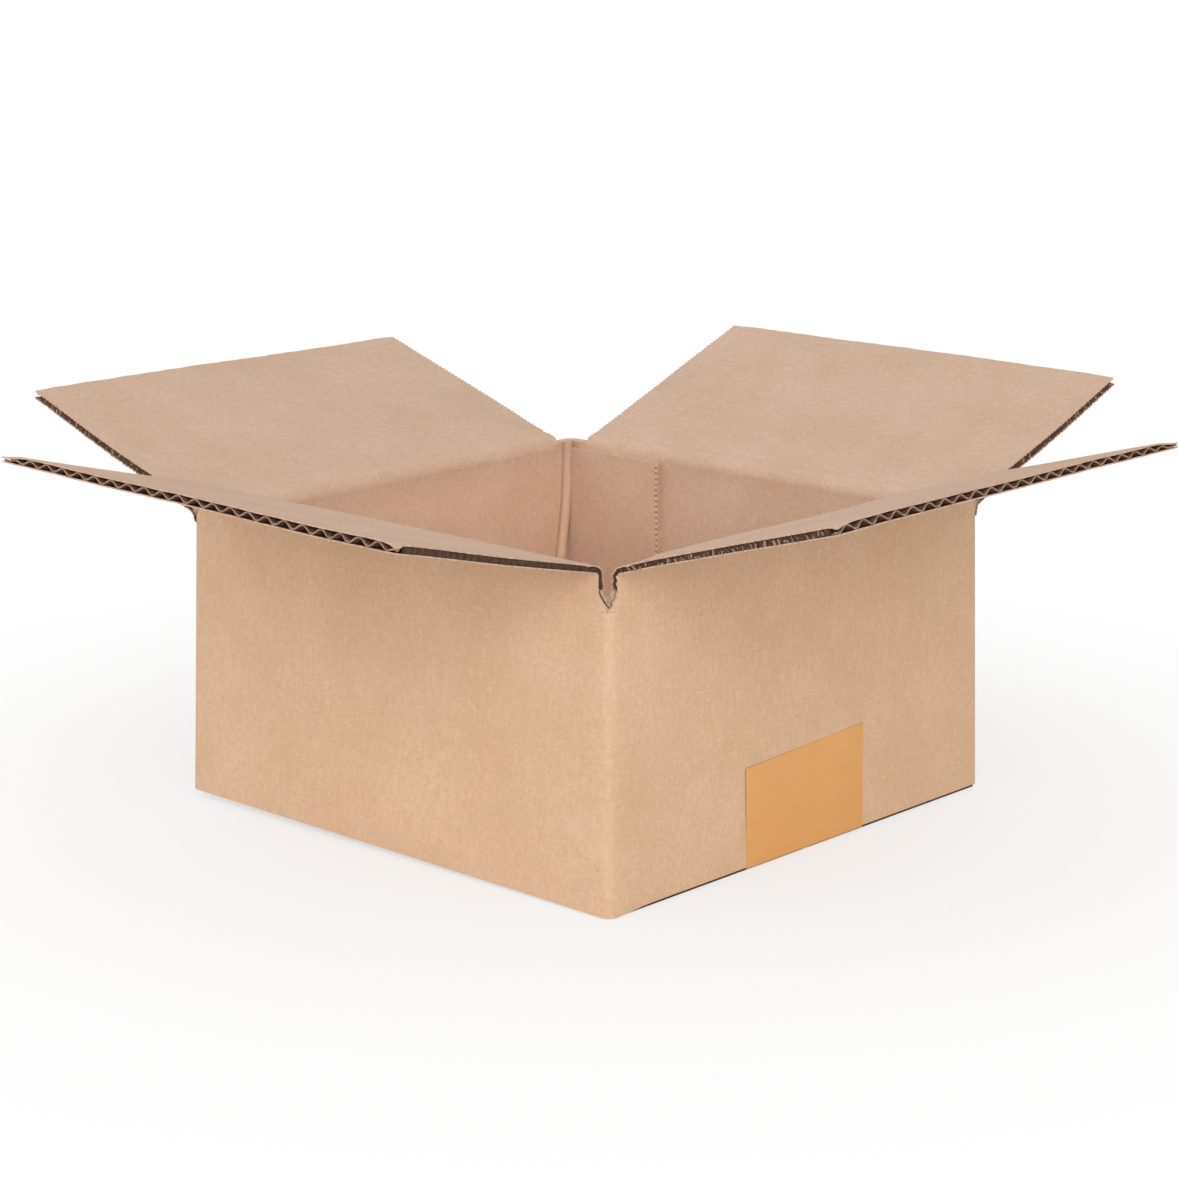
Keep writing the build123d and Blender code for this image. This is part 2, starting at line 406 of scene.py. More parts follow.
def pale_floor():
    """A floor that keeps the soft shadow, lifted to white for the camera with distance."""
    shader = Shader("pale floor")
    shader.finish(
        Base_Color=(0.84, 0.84, 0.85), Roughness=0.6 + shader.grain(200.0) * 0.1,
        Specular_IOR_Level=0.1,
    )
    glow = shader.node("ShaderNodeEmission", {}, {"Color": (1.0, 1.0, 1.0), "Strength": 1.0})
    axes = shader.axes()
    away = ((axes["X"] * axes["X"] + axes["Y"] * axes["Y"]) ** 0.5).above(0.08, 0.2) * 0.38 + 0.62
    seen = away * shader.out(shader.node("ShaderNodeLightPath"), "Is Camera Ray")
    mixed = shader.node("ShaderNodeMixShader", {}, {0: seen})
    shader.tree.links.new(shader.surface.outputs[0], mixed.inputs[1])
    shader.tree.links.new(glow.outputs[0], mixed.inputs[2])
    shader.tree.links.new(mixed.outputs[0], shader.output.inputs[0])
    return shader.material


def settle(obj):
    """Outward normals and soft shading for a finished object."""
    bpy.ops.object.select_all(action="DESELECT")
    obj.select_set(True)
    bpy.context.view_layer.objects.active = obj
    bpy.ops.object.mode_set(mode="EDIT")
    bpy.ops.mesh.select_all(action="SELECT")
    bpy.ops.mesh.remove_doubles(threshold=1e-7)
    bpy.ops.mesh.normals_make_consistent(inside=False)
    bpy.ops.object.mode_set(mode="OBJECT")
    bpy.ops.object.shade_smooth_by_angle(angle=math.radians(38))


def shell(lower, upper):
    """Vertices and faces of a closed sheet between two grids of points.

    Each face comes with its side: 0 on the lower grid, 1 on the upper one, 2 round the rim.
    """
    rows, columns = len(lower), len(lower[0])
    verts = [p for grid in (lower, upper) for row in grid for p in row]
    count = rows * columns
    faces = []
    for j in range(rows - 1):
        for i in range(columns - 1):
            a = j * columns + i
            b = a + columns
            faces.append(((a, b, b + 1, a + 1), 0))
            faces.append(((a + count, a + 1 + count, b + 1 + count, b + count), 1))
    for j in range(rows - 1):
        for i in (0, columns - 1):
            a = j * columns + i
            b = a + columns
            faces.append(((a, b, b + count, a + count), 2))
    for i in range(columns - 1):
        for j in (0, rows - 1):
            a = j * columns + i
            faces.append(((a, a + 1, a + 1 + count, a + count), 2))
    return verts, faces


def joined(name, sheets, materials, coats=None):
    """One object of several closed sheets.

    coats gives each sheet's materials below, above and round its rim, by their places in
    materials. Without it the first material covers everything.
    """
    verts, faces, indices = [], [], []
    coats = coats or [(0, 0, 0)] * len(sheets)
    for (points, sides), coat in zip(sheets, coats):
        start = len(verts)
        verts.extend(points)
        faces.extend(tuple(v + start for v in face) for face, side in sides)
        indices.extend(coat[side] for face, side in sides)
    mesh = bpy.data.meshes.new(name)
    mesh.from_pydata(verts, [], faces)
    for material in materials:
        mesh.materials.append(bpy.data.materials[material])
    mesh.polygons.foreach_set("material_index", indices)
    obj = bpy.data.objects.new(name, mesh)
    bpy.context.scene.collection.objects.link(obj)
    return obj


def smoothstep(x):
    x = max(0.0, min(1.0, x))
    return x * x * (3 - 2 * x)


def bell(x, centre, width):
    """A smooth bump of height 1."""
    return math.exp(-(((x - centre) / width) ** 2))


def jitter(seed, s, rate, amount):
    """The uneven line of a cut edge at a distance along it."""
    return amount * noise.noise(Vector((s * rate, seed * 7.31, seed * 1.7)))


def lean(z):
    """How far a wall stands outside its flat place at a height: out at the foot, in at the top."""
    return FOOT_OUT - LEAN * min(z, SCORE) / SCORE


def foot(x, y, z):
    """How far the slightly twisted bottom stands off the floor near the walls."""
    side, depth = (x + WALL) / (2 * WALL), (y + WALL) / (2 * WALL)
    across = max(0.0, 1 - side)
    lift = (
        LEFT_LIFT * across ** 0.75 * (1 - depth)
        + BACK_RIGHT_LIFT * side * depth + BACK_LEFT_LIFT * across * depth
    )
    near = 1 - smoothstep((WALL - max(abs(x), abs(y))) / 25.0)
    return lift * near * (1 - smoothstep(z / 20.0))


def place(flap, u, o, z):
    """A point in metres: u along a flap's score, o outside its wall's plane, z above the floor.

    It goes with the wall's lean, which fades out within 50 mm of the wall, and with its foot.
    """
    drift = lean(z) * (1 - smoothstep(o / 50.0))
    u *= 1 + drift / WALL
    reach = WALL + o + drift
    x = flap.along[0] * u + flap.out[0] * reach
    y = flap.along[1] * u + flap.out[1] * reach
    return (x * MM, y * MM, (z + foot(x, y, z)) * MM)


def corner_set_back(u):
    """How far the wall's rounded corner lies inside its plane."""
    over = abs(u) - (WALL - CORNER)
    if over <= 0:
        return 0.0
    return CORNER - math.sqrt(max(0.0, CORNER ** 2 - over * over))


def fold_path(flap, start):
    """A flap's outer face in the plane across its score, from the height start to the tip.

    Gives its points, each as the distance along it, the distance out from the wall, the height
    and the slope, and then the distances where the crease begins and ends.
    """
    lift = math.radians(flap.lift)
    turn = math.pi / 2 - lift
    radius = flap.radius
    tangent = radius * math.tan(turn / 2)
    rise = flap.crease - tangent - start
    count = max(2, int(rise / 0.8))
    points = [
        (rise * k / count, 0.0, start + rise * k / count, math.pi / 2) for k in range(count)
    ]
    for k in range(ARC_STEPS + 1):
        a = turn * k / ARC_STEPS
        points.append((
            rise + radius * a, radius - radius * math.cos(a),
            start + rise + radius * math.sin(a), math.pi / 2 - a,
        ))
    total = rise + radius * turn
    o, z = points[-1][1], points[-1][2]
    run = flap.length - tangent
    count = int(run / ROW_STEP)
    for k in range(1, count + 1):
        d = run * k / count
        points.append((total + d, o + d * math.cos(lift), z + d * math.sin(lift), lift))
    return points, rise, total


@dataclass
class Paper:
    """One of a flap's sheets of paper: how its points are spread and how its edges wander."""

    number: int  # keeps each sheet's unevenness its own
    columns: int
    rough: float  # how far the cut ends wander
    rate: float  # how often they do
    ahead: float  # how far the sheet stands out at the flap's tip
    recess: float = 0.0  # how far it stays back inside the cut ends


class FlapShape:
    """The sheets of one top flap, in millimetres.

    s is the distance along the flap's outer face from the slot's lower end, u the place along
    the score, and a depth goes from the outer face towards the inner one. papers, fillers and
    slivers give closed sheets, each with its materials below, above and round its rim.
    """

    def __init__(self, flap, settings, seed):
        self.flap = flap
        self.seed = seed
        self.board = settings.board / MM
        self.liner = settings.liner / MM
        self.medium = settings.medium / MM
        self.pitch = settings.pitch / MM
        self.path, self.rise, self.total = fold_path(flap, settings.slot_end / MM)
        self.full = self.path[-1][0]

    def half_width(self, end, s):
        """Half width towards one end, with the slot's pointed lower end."""
        flap = self.flap
        root = flap.narrow[end]
        tip = JOINT_TIP_HALF if flap.joint[end] else TIP_HALF
        width = root + (tip - root) * max(0.0, (s - self.total) / flap.length)
        if not flap.joint[end]:
            taper = 1 - max(0.0, s - SLOT_POINT) / SLOT_TAPER
            width += (SLOT_POINT_HALF - root) * max(0.0, taper)
        if s > 1.0:
            width += flap.teeth[end] * (1 if int(s / ROW_STEP) % 2 else -1)
        return width

    def share_of_far_end(self, u):
        """0 at the near end, 1 at the far end."""
        return 0.5 + 0.5 * self.flap.far * u / TIP_HALF

    def way_out(self, s):
        """0 up to the crease, 1 at the tip."""
        return max(0.0, (s - self.total) / (self.full - self.total))

    def thinned(self, s, u):
        """How much thinner the board is at its underside, more so towards the tip."""
        share = 0.2 + 0.8 * self.share_of_far_end(u)
        return self.flap.thin * share * smoothstep((s - self.total) / 45.0)

    def thickness(self, s, u, left, right):
        """Thickness of the board between its cut ends at -left and right."""
        flap, board = self.flap, self.board
        past = s - self.total
        # From the wall's thickness to the crease's own, and to nearly the full board 9 mm on
        root = board + (flap.root - board) * smoothstep(s / max(self.rise, 2.5))
        t = root + (board - 0.1 - root) * smoothstep(past / 9.0)
        # Within 8 mm of the cut ends it stays crushed for longer
        edge = min(u + left, right - u)
        slim = flap.root + (board - 0.4 - flap.root) * self.way_out(s) ** 0.6
        near_edge = (1 - smoothstep(edge / 8.0)) * smoothstep((s - self.rise) / 3.0)
        t += (min(t, slim) - t) * near_edge
        # The score's dent, and the swelling before it
        t -= 0.22 * bell(past, 3.2, 0.9) - 0.10 * bell(past, 1.2, 0.8)
        t -= self.thinned(s, u)
        for corner_u, amount, reach in flap.crush:
            far = math.hypot((u - corner_u) / 1.6, self.full - s)
            left_over = 1 - amount * (1 - smoothstep(far / reach))
            t = CRUSHED_FLAT + (t - CRUSHED_FLAT) * left_over
        return t

    def wander(self, s, u):
        """How far the open flap's underside rises off its flat plane."""
        calm = smoothstep((s - self.total) / 12.0)
        wave = noise.noise(Vector((u / 31.0 + self.seed, s / 40.0, 1.3))) * 0.7
        fine = noise.noise(Vector((u / 7.0, s / 26.0, self.seed + 4.1))) * 0.10
        turn = self.flap.twist * self.share_of_far_end(u) * self.way_out(s) ** 2
        return calm * (wave * 0.6 + fine) + turn + self.thinned(s, u)

    def point(self, row, u, depth, ahead=0.0, inset=0.0):
        """A point of a row of the path: depth inside it, ahead along it, inset from the wall."""
        s, o, z, slope = row
        out = o - math.sin(slope) * depth + math.cos(slope) * ahead - inset
        up = z + math.cos(slope) * depth + math.sin(slope) * ahead
        return place(self.flap, u, out, up)

    def surface(self, paper, depth):
        """One side of a sheet of paper, at a depth that depends on u and the thickness."""
        grid = []
        for row in self.path:
            s = row[0]
            calm = smoothstep((s - self.rise) / 2.0)
            left, right = (
                self.half_width(end, s) + calm * jitter(seed, s, paper.rate, paper.rough)
                for end, seed in ((0, self.seed + paper.number), (1, self.seed + paper.number + 9))
            )
            inner = smoothstep((s - 5.0) / 2.0) * smoothstep((self.full - s) / 2.5)
            left -= paper.recess * (0.15 + 0.85 * inner)
            right -= paper.recess * (0.15 + 0.85 * inner)
            tip = smoothstep((s - self.full + 4.0) / 4.0)
            points = []
            for i in range(paper.columns + 1):
                u = -left + (left + right) * i / paper.columns
                ragged = 0.25 * noise.noise(
                    Vector((u / 2.2, self.seed + paper.number * 3.3, 0.5))
                )
                t = self.thickness(s, u, left, right)
                d = depth(u, t)
                # Below the crease the outer half of the board follows the wall's round corner
                inset = corner_set_back(u) if s < self.rise and d < 0.5 * t else 0.0
                points.append(
                    self.point(row, u, d + self.wander(s, u), tip * (paper.ahead + ragged), inset)
                )
            grid.append(points)
        return grid

    def fluted(self, above):
        """The depth of the fluted layer's lower side, or above it by the thickness given."""
        def depth(u, t):
            ramp = abs((u / self.pitch + 0.31) % 1.0 * 2 - 1)
            ramp = smoothstep(0.5 + (ramp - 0.5) * 1.15)
            return self.liner + (t - 2 * self.liner - self.medium) * ramp + above
        return depth

    def papers(self):
        """The outer liner, the inner liner and the fluted layer, each with its coat."""
        liner = self.liner
        wave_columns = int(2 * WALL_INSIDE / self.pitch * 8)
        outer = Paper(number=0, columns=60, rough=0.30, rate=1.1, ahead=0.0)
        inner = Paper(number=1, columns=60, rough=0.18, rate=0.9, ahead=0.15)
        wave = Paper(number=2, columns=wave_columns, rough=0.4, rate=1.3, ahead=-0.5, recess=1.4)
        return [
            (shell(self.surface(paper, low), self.surface(paper, high)), coat)
            for paper, low, high, coat in (
                (outer, lambda u, t: 0.0, lambda u, t: liner, (OUTSIDE, CORE, CUT)),
                (inner, lambda u, t: t - liner, lambda u, t: t, (CORE, INSIDE, CUT)),
                (wave, self.fluted(0.0), self.fluted(self.medium), (CORE, CORE, TORN)),
            )
        ]

    def filler(self, end, low, high, rows, set_back, rough=0.0):
        """A strip that fills a cut end, set back in it, between two shares of the thickness."""
        side = 1 if end else -1
        inner, outer = [], []
        for row in rows:
            s = row[0]
            half = self.half_width(end, s)
            t = self.thickness(s, side * half, half, half)
            back = set_back + rough * noise.noise(Vector((s * 0.9, self.seed, 8.0)))
            for grid, more in ((outer, 0.0), (inner, 0.3)):
                u = side * (half - back - more)
                grid.append([])
                for share in (low, high):
                    d = self.liner * 0.5 + (t - self.liner) * share + self.wander(s, u)
                    inset = corner_set_back(u) * (1 - share) if s < self.rise else 0.0
                    grid[-1].append(self.point(row, u, d, inset=inset))
        return shell(inner, outer)

    def fillers(self):
        """The strips in the cut ends: two at the slot's pointed lower end, one of painted shade
        above.
        """
        made = []
        slot = [row for row in self.path if row[0] < 6.0]
        rest = [row for row in self.path if 5.0 < row[0] < self.full - 1.6]
        for end in (0, 1):
            made += [
                # On the first end the slot strip's lower part is painted shade
                (self.filler(end, 0.0, 0.35, slot, 0.12), (TORN if end else PAINTED_SLIT_SHADE,) * 3),
                (self.filler(end, 0.35, 1.0, slot, 0.12), (CUT,) * 3),
                # A strip of painted shade set back in each cut end, where the gap between the
                # liners is dark
                (self.filler(end, 0.0, 1.0, rest, self.flap.set_back[end], 0.25), (PAINTED_SLIT_SHADE,) * 3),
            ]
        return made

    def sliver(self, side, s, half, low, high, slant, wide):
        """A thin shred across the board's thickness, between two depths."""
        lift = math.radians(self.flap.lift)
        grids = []
        for inset in (0.0, 0.5):
            u = side * (half - inset)
            d_rise = self.wander(s, u)
            grid = []
            for d, shift in ((low, 0.0), (high, slant)):
                row = []
                for across in (0.0, wide):
                    back = self.full - (s + shift + across)
                    o = self.path[-1][1] - back * math.cos(lift) - math.sin(lift) * (d + d_rise)
                    z = self.path[-1][2] - back * math.sin(lift) + math.cos(lift) * (d + d_rise)
                    row.append(place(self.flap, u, o, z))
                grid.append(row)
            grids.append(grid)
        return shell(*grids)

    def slivers(self):
        """Shreds of torn paper on the cut ends."""
        made = []
        chance = random.Random(self.seed)
        for end, torn in enumerate(self.flap.torn):
            side = 1 if end else -1
            s = self.total + 2.5
            while torn and s < self.full - 4.5:
                half = self.half_width(end, s) - chance.uniform(0.1, 0.5)
                t = self.thickness(s, side * half, half, half)
                low = chance.choice((0.1, 0.1, 0.3)) * t
                high = low + chance.uniform(0.3, 0.85) * (t - 0.2 - low)
                slant = chance.uniform(-0.9, 0.9)
                wide = chance.uniform(0.2, 0.55)
                made.append((self.sliver(side, s, half, low, high, slant, wide), (TORN,) * 3))
                s += chance.uniform(0.6, 1.7) / torn
        return made


def make_flap(name, flap, settings, seed):
    """Builds one top flap, already open at its crease."""
    shape = FlapShape(flap, settings, seed)
    sheets, coats = zip(*shape.papers(), *shape.fillers(), *shape.slivers())
    obj = joined("flap_" + name, sheets, FLAP_COATS, coats)
    settle(obj)
    hinge = OUTER_HINGE if flap.outer else INNER_HINGE
    # Two points, on the wall below the joint and just beyond it; nothing uses them
    start = place(flap, 0.0, -1.0, 80.0)
    end = place(flap, 0.0, 5.0, hinge + 1.5)
    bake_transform(obj)
    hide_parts("top_flap_" + name)


class BOX_OT_materials(bpy.types.Operator):
    """Make the board's and the tape's materials"""

    bl_idname = "box.materials"
    bl_label = "Box Materials"

    def execute(self, context):
        settings = context.scene.box_settings
        # Painted light that lifts the shaded inside below the score, less on the back wall
        painted_fill_tints = ((1.21, 1.20, 1.19), (1.07, 1.09, 1.12))
        kraft_material("kraft outside", tuple(settings.kraft))
        kraft_material("kraft inside", tuple(settings.inside), painted_fill_tints)
        # A darker kraft as painted shade for the grooves beside the corner ridge
        kraft_material("painted groove shade", tinted(settings.inside, 0.90, 0.84, 0.80))
        core_material("fluted core", (0.20, 0.105, 0.070), (0.40, 0.25, 0.18))
        # Painted shade for the dark gaps in the cut ends and under the walls
        core_material("slit painted shade", (0.052, 0.028, 0.019), (0.125, 0.073, 0.050))
        core_material("cut edge", (0.40, 0.26, 0.19), (0.66, 0.47, 0.34))
        core_material("torn core", (0.24, 0.145, 0.10), (0.46, 0.31, 0.225))
        tape_material(tuple(settings.tape))
        return {"FINISHED"}


def choose(obj, kind, wanted):
    """Selects a mesh's faces or edges by how far they reach upwards, and stays in edit mode."""
    bpy.ops.object.mode_set(mode="EDIT")
    bpy.ops.mesh.select_mode(type=kind)
    bpy.ops.mesh.select_all(action="DESELECT")
    bpy.ops.object.mode_set(mode="OBJECT")
    for part in obj.data.polygons if kind == "FACE" else obj.data.edges:
        heights = [obj.data.vertices[i].co.z for i in part.vertices]
        part.select = wanted(max(heights) - min(heights))
    bpy.ops.object.mode_set(mode="EDIT")


def bisect_many(obj, axis, levels):
    """Cuts an object's mesh by planes across one axis."""
    index = "xyz".index(axis)
    normal = Vector((0, 0, 0))
    normal[index] = 1.0
    bpy.ops.object.mode_set(mode="EDIT")
    for level in levels:
        bpy.ops.mesh.select_all(action="SELECT")
        bpy.ops.mesh.bisect(plane_co=normal * level, plane_no=normal)
    bpy.ops.object.mode_set(mode="OBJECT")


def wall_ring(name, low, high):
    """The outer faces of the four walls, with rounded corners and rows and columns of points."""
    half = WALL * MM
    bpy.ops.object.select_all(action="DESELECT")
    bpy.ops.mesh.primitive_cube_add(size=2.0)
    obj = bpy.context.active_object
    obj.name = obj.data.name = name
    for v in obj.data.vertices:
        x, y = (math.copysign(half, c) for c in v.co.xy)
        v.co = Vector((x, y, high if v.co.z > 0 else low))
    choose(obj, "FACE", lambda height: height < 0.001)
    bpy.ops.mesh.delete(type="ONLY_FACE")
    choose(obj, "EDGE", lambda height: height > 0.01)
    bpy.ops.mesh.bevel(offset=CORNER * MM, segments=5, offset_type="OFFSET")
    bpy.ops.object.mode_set(mode="OBJECT")
    rows = 26
    bisect_many(obj, "z", [low + (high - low) * k / rows for k in range(1, rows)])
    for axis in "xy":
        bisect_many(obj, axis, [-0.075 + 0.0050 * k for k in range(1, 30)])
    # Two cuts close together make the step in the upper edge beside the glued corner
    step = ((JOINT_EDGE + JOINT_STEP) * MM, JOINT_EDGE * MM)
    bisect_many(obj, "x", [-level for level in step])
    bisect_many(obj, "y", step)
    return obj


def wall_wander(p):
    """The slight unevenness of a wall, none at its folds."""
    half, face, fade = WALL * MM, 0.0779, 0.03
    calm = smoothstep((p.z - 0.002) / 0.02) * smoothstep((0.078 - p.z) / 0.015)
    along = p.x if abs(p.y) > face else p.y
    across = min(abs(abs(along) - half), fade) / fade
    ripple = noise.noise(Vector((p.x * 22, p.y * 22, p.z * 16)))
    amount = calm * smoothstep(across) * 0.0005 * ripple
    if abs(p.x) > face:
        return Vector((math.copysign(amount, -p.x), 0, 0))
    if abs(p.y) > face:
        return Vector((0, math.copysign(amount, -p.y), 0))
    return Vector((0, 0, 0))


def stand_off_true(co, top):
    """Moves a wall's point to where the real, slightly crooked wall has it."""
    if co.z < 0.002 and abs(co.x) > abs(co.y):
        # The side walls end higher than the others, on the bottom flaps folded under them
        co.z += 0.0007 * smoothstep((co.y + 0.0745) / 0.012)
    corner = (JOINT_EDGE + JOINT_STEP / 2) * MM
    if co.z > top - 0.0005 and co.x < -corner and co.y > corner:
        # The slot beside the glued corner ends higher than the others
        co.z = JOINT_TOP * MM
    grow = 1 + lean(co.z / MM) / WALL
    co.z += foot(co.x / MM, co.y / MM, co.z / MM) * MM
    co.x *= grow
    co.y *= grow


class BOX_OT_walls(bpy.types.Operator):
    """Fold the four walls up to the lower ends of the slots"""

    bl_idname = "box.walls"
    bl_label = "Box Walls"

    def execute(self, context):
        settings = context.scene.box_settings
        obj = wall_ring("walls", 0.0002, settings.slot_end)
        for v in obj.data.vertices:
            v.co = v.co + wall_wander(v.co)
        thick = obj.modifiers.new("board", "SOLIDIFY")
        thick.thickness = settings.board
        thick.offset = -1.0
        thick.use_even_offset = True
        bpy.ops.object.modifier_apply(modifier=thick.name)
        for v in obj.data.vertices:
            stand_off_true(v.co, settings.slot_end)
        for name in ("kraft outside", "kraft inside"):
            obj.data.materials.append(bpy.data.materials[name])
        for p in obj.data.polygons:
            inward = p.normal.x * p.center.x + p.normal.y * p.center.y < 0
            p.material_index = 1 if inward and abs(p.normal.z) < 0.5 else 0
        settle(obj)
        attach(obj, "box")
        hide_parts("box_body")
        return {"FINISHED"}


def bottom_flap(name, flap):
    """A bottom flap, from its wall's inside to the middle of the box.

    An outer one has a crushed strip at each side, whose rim in painted shade shows as a dark line
    under the wall.
    """
    level = 0.2 if flap.outer else 3.4
    near, far = 75.3, 0.25
    rows, columns = 24, 30
    low, high = [], []
    for j in range(rows + 1):
        d = near + (far - near) * j / rows
        half = 74.4 - 1.8 * j / rows
        low.append([])
        high.append([])
        for i in range(-1, columns + 2):
            u = -half + 2 * half * max(0, min(columns, i)) / columns
            thick = 2.95 + min(0.0, 0.12 * noise.noise(Vector((u / 30, d / 30, level))))
            if not 0 <= i <= columns:
                u = math.copysign(77.7 if flap.outer else half + 0.2, u)
                thick = 0.65 if flap.outer else thick
            low[-1].append(place(flap, u, d - WALL, level))
            high[-1].append(place(flap, u, d - WALL, level + thick))
    # The rim is painted shade; the crushed strips show it as a dark line under the wall
    materials = ("kraft outside", "kraft inside", "slit painted shade")
    obj = joined("bottom_flap_" + name, [shell(low, high)], materials, [(0, 1, 2)])
    settle(obj)
    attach(obj, "box")


class BOX_OT_bottom(bpy.types.Operator):
    """Fold the four bottom flaps in"""

    bl_idname = "box.bottom"
    bl_label = "Box Bottom"

    def execute(self, context):
        for name, flap in FLAPS.items():
            bottom_flap(name, flap)
        return {"FINISHED"}


class BOX_OT_glue_tab(bpy.types.Operator):
    """Lay the glue tab on the inside of the back wall"""

    bl_idname = "box.glue_tab"
    bl_label = "Glue Tab"

    def execute(self, context):
        front, back = [], []
        for j in range(TAB_ROWS + 1):
            z = TAB_LOW + (TAB_HIGH - TAB_LOW) * j / TAB_ROWS
            front.append([])
            back.append([])
            for across in TAB_COLUMNS:
                x = across - WALL_INSIDE
                drop = 0.3 * across / TAB_COLUMNS[-1] * (j / TAB_ROWS) ** 8
                wall = WALL_INSIDE + lean(z)
                y = wall - 1.7 - 0.15 * noise.noise(Vector((x / 9, z / 14, 3.0)))
                if across > 36.5:
                    # Every other row stands out, as the cut flutes do
                    tooth = j % 2
                    y -= 0.45 if tooth else -0.45
                    x += 0.25 * tooth
                front[-1].append((x * MM, y * MM, (z - drop) * MM))
                back[-1].append((x * MM, wall * MM, (z - drop) * MM))
        obj = joined("glue_tab", [shell(front, back)], ["kraft inside"])
        settle(obj)
        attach(obj, "box")
        return {"FINISHED"}


class BOX_OT_corner_bead(bpy.types.Operator):
    """Raise the soft ridge in the glued corner, where the liner gathers at the fold"""

    bl_idname = "box.corner_bead"
    bl_label = "Corner Ridge"

    def execute(self, context):
        under, over = [], []
        # Strips of painted shade beside the ridge: place, half width and the grids of two sides
        groove_shade_strips = ((-1.9, 0.5, [], []), (1.8, 0.7, [], []))
        steps = 8
        for k in range((len(RIDGE_ROUTE) - 1) * steps + 1):
            i = min(k // steps, len(RIDGE_ROUTE) - 2)
            f = k / steps - i
            x, y, z = (a + (b - a) * f for a, b in zip(RIDGE_ROUTE[i], RIDGE_ROUTE[i + 1]))
            wall = x - lean(z)
            fade = smoothstep((z - 7.0) / 25.0)
            swell = 1.0 + 0.15 * noise.noise(Vector((z / 4.0, 2.0, 5.0)))
            under.append([])
            over.append([])
            for m in range(9):
                a = math.pi * m / 8
                side = (y - 1.5 * math.cos(a)) * MM
                height = 1.7 * fade * swell * math.sin(a) ** 0.7
                over[-1].append(((wall + height) * MM, side, z * MM))
                under[-1].append(((wall - 0.3) * MM, side, z * MM))
            for shift, wide, low, high in groove_shade_strips:
                wide *= fade
                for grid, heights in ((low, (-0.3, -0.3, -0.3)), (high, (0.02, 0.12, 0.02))):
                    grid.append([
                        ((wall + h) * MM, (y + shift + w) * MM, z * MM)
                        for w, h in zip((-wide, 0, wide), heights)
                    ])
        sheets = [shell(under, over)] + [shell(low, high) for _, _, low, high in groove_shade_strips]
        # The strips beside the ridge are darker kraft, painted shade for its grooves
        coats = [(0, 0, 0), (1, 1, 1), (1, 1, 1)]
        obj = joined("corner_ridge", sheets, ["kraft inside", "painted groove shade"], coats)
        settle(obj)
        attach(obj, "box")
        return {"FINISHED"}


class BOX_OT_top_flaps(bpy.types.Operator):
    """Fold the four top flaps open"""

    bl_idname = "box.top_flaps"
    bl_label = "Top Flaps"

    def execute(self, context):
        for seed, (name, flap) in enumerate(FLAPS.items(), 1):
            make_flap(name, flap, context.scene.box_settings, seed)
        return {"FINISHED"}


def tape_path():
    """The tape's outer face: down the right wall, under the box and up the left wall.

    Each point is its X, its height and the turn of its outward direction from plus X.
    """
    flat = TAPE_FACE - TAPE_BEND
    right = [(TAPE_FACE, TAPE_RISE - (TAPE_RISE - TAPE_BEND) * k / 14, 0) for k in range(15)]
    for k in range(1, 6):
        a = math.pi / 2 * k / 6
        right.append((flat + TAPE_BEND * math.cos(a), TAPE_BEND - TAPE_BEND * math.sin(a), a))
    under = [(flat * (1 - k / 15), 0.0, math.pi / 2) for k in range(31)]
    left = [(-x, z, math.pi - turn) for x, z, turn in reversed(right)]
    return right + under + left


class BOX_OT_tape(bpy.types.Operator):
    """Close the bottom seam with tape"""

    bl_idname = "box.tape"
    bl_label = "Closing Tape"

    def execute(self, context):
        inner, outer = [], []
        columns = 20
        for x, z, turn in tape_path():
            nx, nz = math.cos(turn), -math.sin(turn)
            reach = x * (1 + lean(z) / WALL)
            inner.append([])
            outer.append([])
            for i in range(columns + 1):
                y = TAPE_EDGE + TAPE_WIDTH * i / columns
                lift = 0.0
                if 2 < z < 27:
                    lift = 0.03 * noise.noise(Vector((x / 10, y / 5, z / 5)))
                level = z + TAPE_SKEW * (y / 25.0) * (z / TAPE_RISE) + foot(x, y, z)
                outer[-1].append(((reach + nx * lift) * MM, y * MM, level * MM))
                inner[-1].append((
                    (reach - nx * TAPE_THICKNESS) * MM, y * MM, (level - nz * TAPE_THICKNESS) * MM
                ))
        obj = joined("closing_tape", [shell(inner, outer)], ["paper tape"])
        settle(obj)
        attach(obj, "box")
        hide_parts("sealing_tape")
        return {"FINISHED"}


def area_light(name, spot, size, power, colour=(1, 1, 1)):
    """A rectangular light that faces the box."""
    data = bpy.data.lights.new(name, "AREA")
    data.shape = "RECTANGLE"
    data.size, data.size_y = size
    data.energy = power
    data.color = colour
    obj = bpy.data.objects.new(name, data)
    bpy.context.scene.collection.objects.link(obj)
    obj.location = spot
    aim = Vector((0, 0, 0.05)) - Vector(spot)
    obj.rotation_euler = aim.to_track_quat("-Z", "Y").to_euler()


def studio_world():
    """A soft warm fill that the camera sees as plain white."""
    world = bpy.data.worlds.new("studio")
    world.use_nodes = True
    tree = world.node_tree
    tree.nodes.clear()
    output = tree.nodes.new("ShaderNodeOutputWorld")
    mix = tree.nodes.new("ShaderNodeMixShader")
    path = tree.nodes.new("ShaderNodeLightPath")
    tree.links.new(path.outputs["Is Camera Ray"], mix.inputs[0])
    for slot, colour, strength in ((1, (1.0, 0.985, 0.97, 1), 0.77), (2, (1, 1, 1, 1), 1.0)):
        light = tree.nodes.new("ShaderNodeBackground")
        light.inputs[0].default_value = colour
        light.inputs[1].default_value = strength
        tree.links.new(light.outputs[0], mix.inputs[slot])
    tree.links.new(mix.outputs[0], output.inputs[0])
    return world


